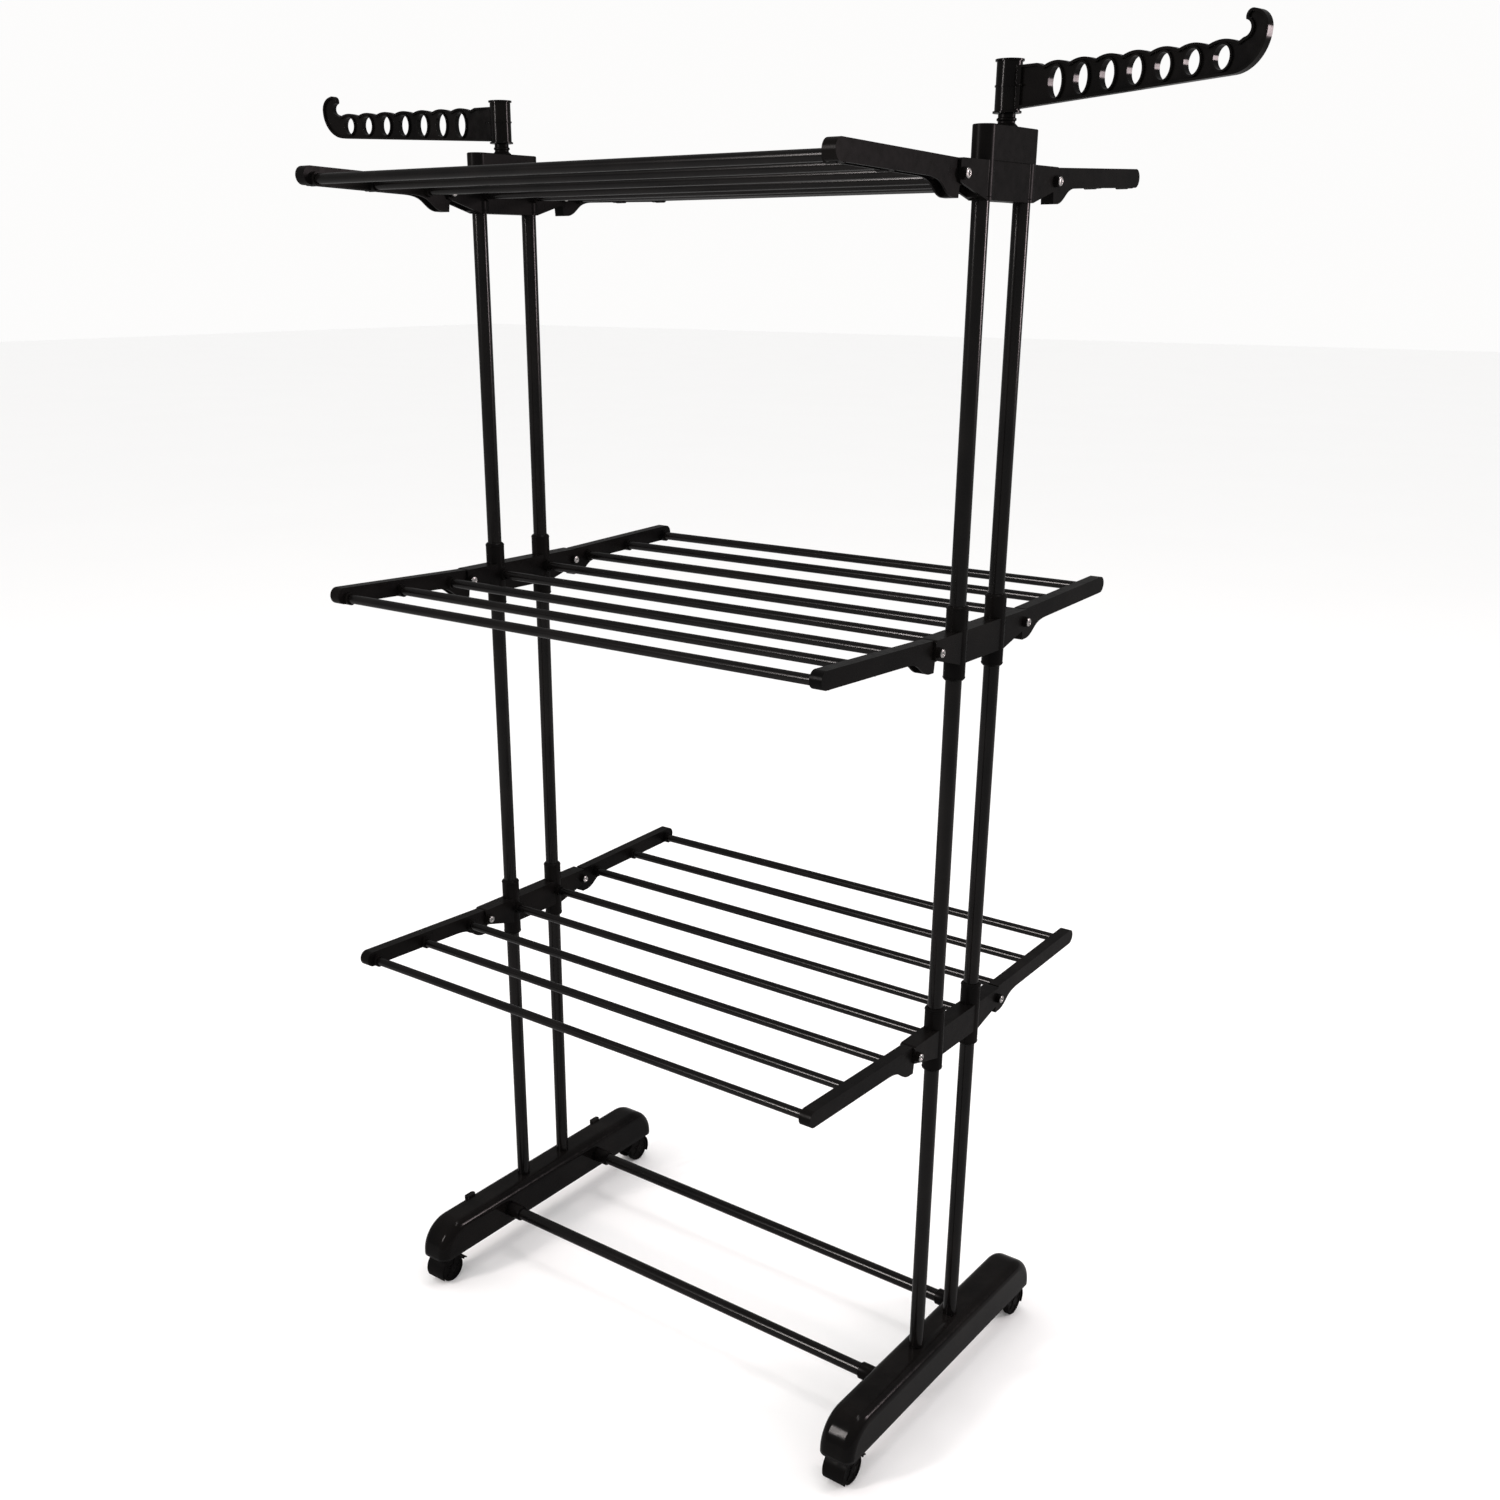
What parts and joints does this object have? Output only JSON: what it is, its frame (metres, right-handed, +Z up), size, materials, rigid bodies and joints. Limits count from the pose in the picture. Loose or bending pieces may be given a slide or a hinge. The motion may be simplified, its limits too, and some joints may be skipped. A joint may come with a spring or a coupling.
{
  "type": "clothes drying rack",
  "caption": "Free-standing rolling clothes drying rack with tiers of horizontal bars, fold-down wings, swivelling perforated hanger arms and hooded casters",
  "frame": {"origin": "on the floor under the middle of the rack", "axes": "+Z up, X along the bars with the left side at -X, Y from front to rear"},
  "size_m": [1.2514, 0.6374, 1.5969],
  "materials": {
    "gloss_plastic": "black moulded plastic, satin to gloss",
    "matte_plastic": "black caster plastic, low sheen",
    "painted_tube": "black powder-coated steel tube, semi-gloss",
    "bright_steel": "bright plated steel"
  },
  "bodies": {
    "frame": {"foot_left": "gloss_plastic", "posts_lower_left": "painted_tube", "posts_middle_left": "painted_tube", "posts_upper_left": "painted_tube", "foot_base_left": "gloss_plastic", "bracket_low_left": "gloss_plastic", "bracket_mid_left": "gloss_plastic", "bracket_top_left": "gloss_plastic", "top_cap_left": "gloss_plastic", "hanger_pivot_left": "gloss_plastic", "foot_right": "gloss_plastic", "posts_lower_right": "painted_tube", "posts_middle_right": "painted_tube", "posts_upper_right": "painted_tube", "foot_base_right": "gloss_plastic", "bracket_low_right": "gloss_plastic", "bracket_mid_right": "gloss_plastic", "bracket_top_right": "gloss_plastic", "top_cap_right": "gloss_plastic", "hanger_pivot_right": "gloss_plastic", "stretchers": "painted_tube", "stretcher_sleeves": "gloss_plastic", "centre_bars_low": "painted_tube", "centre_bars_mid": "painted_tube", "centre_bars_top": "painted_tube", "hinge_rivets": "bright_steel", "hanger_screws": "bright_steel", "caster_stems": "bright_steel"},
    "wing_low_front": {"wing_arm_low_front_left": "gloss_plastic", "wing_arm_low_front_right": "gloss_plastic", "wing_bars_low_front": "painted_tube"},
    "wing_low_rear": {"wing_arm_low_rear_left": "gloss_plastic", "wing_arm_low_rear_right": "gloss_plastic", "wing_bars_low_rear": "painted_tube"},
    "wing_mid_front": {"wing_arm_mid_front_left": "gloss_plastic", "wing_arm_mid_front_right": "gloss_plastic", "wing_bars_mid_front": "painted_tube"},
    "wing_mid_rear": {"wing_arm_mid_rear_left": "gloss_plastic", "wing_arm_mid_rear_right": "gloss_plastic", "wing_bars_mid_rear": "painted_tube"},
    "wing_top_front": {"wing_arm_top_front_left": "gloss_plastic", "wing_arm_top_front_right": "gloss_plastic", "wing_bars_top_front": "painted_tube"},
    "wing_top_rear": {"wing_arm_top_rear_left": "gloss_plastic", "wing_arm_top_rear_right": "gloss_plastic", "wing_bars_top_rear": "painted_tube"},
    "hanger_left": {"hanger_arm_left": "gloss_plastic"},
    "hanger_right": {"hanger_arm_right": "gloss_plastic"},
    "caster_front_left": {"caster_body_front_left": "matte_plastic"},
    "wheels_front_left": {"caster_wheels_front_left": "matte_plastic", "caster_axle_front_left": "bright_steel"},
    "caster_rear_left": {"caster_body_rear_left": "matte_plastic"},
    "wheels_rear_left": {"caster_wheels_rear_left": "matte_plastic", "caster_axle_rear_left": "bright_steel"},
    "caster_front_right": {"caster_body_front_right": "matte_plastic"},
    "wheels_front_right": {"caster_wheels_front_right": "matte_plastic", "caster_axle_front_right": "bright_steel"},
    "caster_rear_right": {"caster_body_rear_right": "matte_plastic"},
    "wheels_rear_right": {"caster_wheels_rear_right": "matte_plastic", "caster_axle_rear_right": "bright_steel"}
  },
  "joints": [
    {"name": "wing_low_front_fold", "type": "hinge", "parent": "frame", "child": "wing_low_front", "pos_m": [0, -0.0992, 0.5347], "axis": [1, 0, 0], "range_deg": [0, 90]},
    {"name": "wing_low_rear_fold", "type": "hinge", "parent": "frame", "child": "wing_low_rear", "pos_m": [0, 0.0992, 0.5347], "axis": [-1, 0, 0], "range_deg": [0, 90]},
    {"name": "wing_mid_front_fold", "type": "hinge", "parent": "frame", "child": "wing_mid_front", "pos_m": [0, -0.0992, 1.0102], "axis": [1, 0, 0], "range_deg": [0, 90]},
    {"name": "wing_mid_rear_fold", "type": "hinge", "parent": "frame", "child": "wing_mid_rear", "pos_m": [0, 0.0992, 1.0102], "axis": [-1, 0, 0], "range_deg": [0, 90]},
    {"name": "wing_top_front_fold", "type": "hinge", "parent": "frame", "child": "wing_top_front", "pos_m": [0, -0.0992, 1.4737], "axis": [1, 0, 0], "range_deg": [0, 90]},
    {"name": "wing_top_rear_fold", "type": "hinge", "parent": "frame", "child": "wing_top_rear", "pos_m": [0, 0.0992, 1.4737], "axis": [-1, 0, 0], "range_deg": [0, 90]},
    {"name": "hanger_left_swivel", "type": "hinge", "parent": "frame", "child": "hanger_left", "pos_m": [-0.345, 0, 1.532], "axis": [0, 0, 1], "continuous": true},
    {"name": "hanger_right_swivel", "type": "hinge", "parent": "frame", "child": "hanger_right", "pos_m": [0.345, 0, 1.532], "axis": [0, 0, 1], "continuous": true},
    {"name": "caster_front_left_swivel", "type": "hinge", "parent": "frame", "child": "caster_front_left", "pos_m": [-0.345, -0.205, 0.04], "axis": [0, 0, 1], "continuous": true},
    {"name": "wheels_front_left_roll", "type": "hinge", "parent": "caster_front_left", "child": "wheels_front_left", "pos_m": [-0.345, -0.213, 0.02], "axis": [1, 0, 0], "continuous": true},
    {"name": "caster_rear_left_swivel", "type": "hinge", "parent": "frame", "child": "caster_rear_left", "pos_m": [-0.345, 0.205, 0.04], "axis": [0, 0, 1], "continuous": true},
    {"name": "wheels_rear_left_roll", "type": "hinge", "parent": "caster_rear_left", "child": "wheels_rear_left", "pos_m": [-0.345, 0.213, 0.02], "axis": [1, 0, 0], "continuous": true},
    {"name": "caster_front_right_swivel", "type": "hinge", "parent": "frame", "child": "caster_front_right", "pos_m": [0.345, -0.205, 0.04], "axis": [0, 0, 1], "continuous": true},
    {"name": "wheels_front_right_roll", "type": "hinge", "parent": "caster_front_right", "child": "wheels_front_right", "pos_m": [0.345, -0.213, 0.02], "axis": [1, 0, 0], "continuous": true},
    {"name": "caster_rear_right_swivel", "type": "hinge", "parent": "frame", "child": "caster_rear_right", "pos_m": [0.345, 0.205, 0.04], "axis": [0, 0, 1], "continuous": true},
    {"name": "wheels_rear_right_roll", "type": "hinge", "parent": "caster_rear_right", "child": "wheels_rear_right", "pos_m": [0.345, 0.213, 0.02], "axis": [1, 0, 0], "continuous": true}
  ]
}
